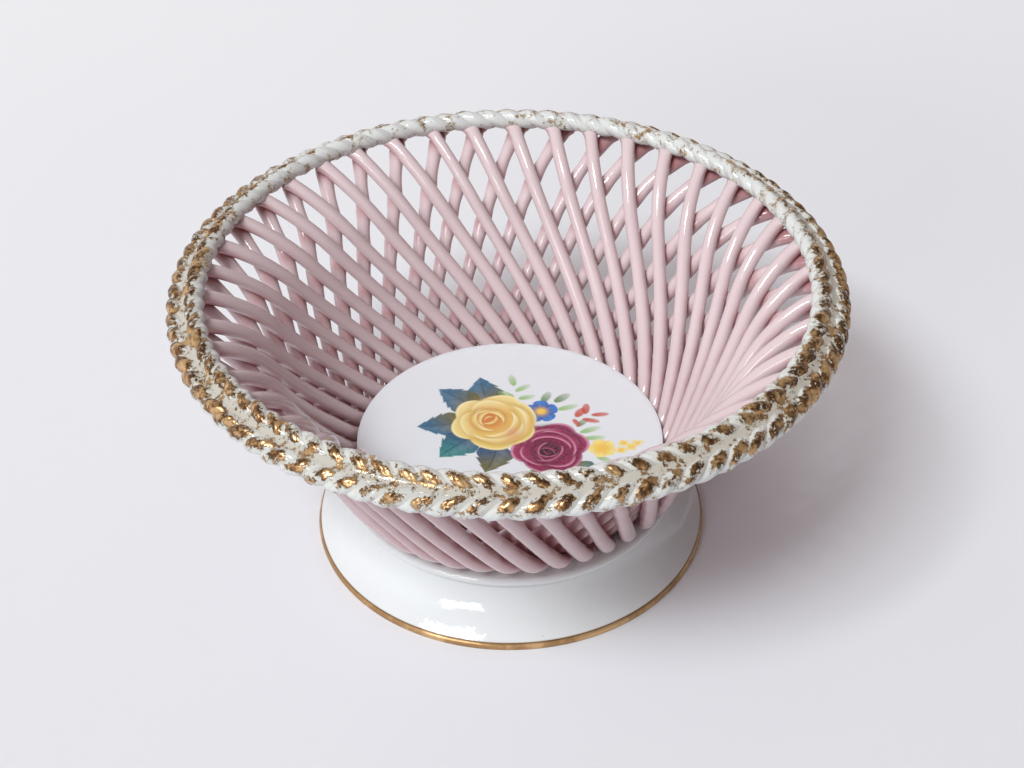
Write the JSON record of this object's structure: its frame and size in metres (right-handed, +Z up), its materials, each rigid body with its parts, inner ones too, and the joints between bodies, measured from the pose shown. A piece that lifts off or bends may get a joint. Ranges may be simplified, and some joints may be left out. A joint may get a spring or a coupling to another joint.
{
  "type": "footed openwork bowl",
  "caption": "Footed round porcelain basket bowl with an openwork wall of crossed pink rods, a gilded twisted rope rim, a painted floor and a flared white pedestal foot.",
  "frame": {"origin": "middle of the resting plane, on the bowl's axis", "axes": "+Z up along the bowl's axis of turning; the pictured side faces -Y"},
  "size_m": [0.2098, 0.2098, 0.0998],
  "materials": {
    "white_glaze": "glossy white glaze with a thin gold line at the base",
    "clay_core": "unglazed white porcelain body, hidden",
    "painted_floor_glaze": "glossy white glaze with a painted flower spray",
    "pink_glaze": "glossy rose-pink glaze, pooled darker where rods cross",
    "gilded_rope_glaze": "glossy white glaze with brushed gilding on the crests"
  },
  "bodies": {
    "root": {"pedestal_foot": "white_glaze", "core_disc": "clay_core", "floor_disc": "painted_floor_glaze", "inner_rods_01": "pink_glaze", "inner_rods_02": "pink_glaze", "inner_rods_03": "pink_glaze", "inner_rods_04": "pink_glaze", "inner_rods_05": "pink_glaze", "inner_rods_06": "pink_glaze", "inner_rods_07": "pink_glaze", "inner_rods_08": "pink_glaze", "inner_rods_09": "pink_glaze", "inner_rods_10": "pink_glaze", "inner_rods_11": "pink_glaze", "inner_rods_12": "pink_glaze", "inner_rods_13": "pink_glaze", "inner_rods_14": "pink_glaze", "inner_rods_15": "pink_glaze", "inner_rods_16": "pink_glaze", "inner_rods_17": "pink_glaze", "inner_rods_18": "pink_glaze", "inner_rods_19": "pink_glaze", "inner_rods_20": "pink_glaze", "inner_rods_21": "pink_glaze", "outer_rods_01": "pink_glaze", "outer_rods_02": "pink_glaze", "outer_rods_03": "pink_glaze", "outer_rods_04": "pink_glaze", "outer_rods_05": "pink_glaze", "outer_rods_06": "pink_glaze", "outer_rods_07": "pink_glaze", "outer_rods_08": "pink_glaze", "outer_rods_09": "pink_glaze", "outer_rods_10": "pink_glaze", "outer_rods_11": "pink_glaze", "outer_rods_12": "pink_glaze", "outer_rods_13": "pink_glaze", "outer_rods_14": "pink_glaze", "outer_rods_15": "pink_glaze", "outer_rods_16": "pink_glaze", "outer_rods_17": "pink_glaze", "outer_rods_18": "pink_glaze", "outer_rods_19": "pink_glaze", "outer_rods_20": "pink_glaze", "outer_rods_21": "pink_glaze", "inner_rope_strand_a": "gilded_rope_glaze", "inner_rope_strand_b": "gilded_rope_glaze", "outer_rope_strand_a": "gilded_rope_glaze", "outer_rope_strand_b": "gilded_rope_glaze"}
  },
  "joints": []
}
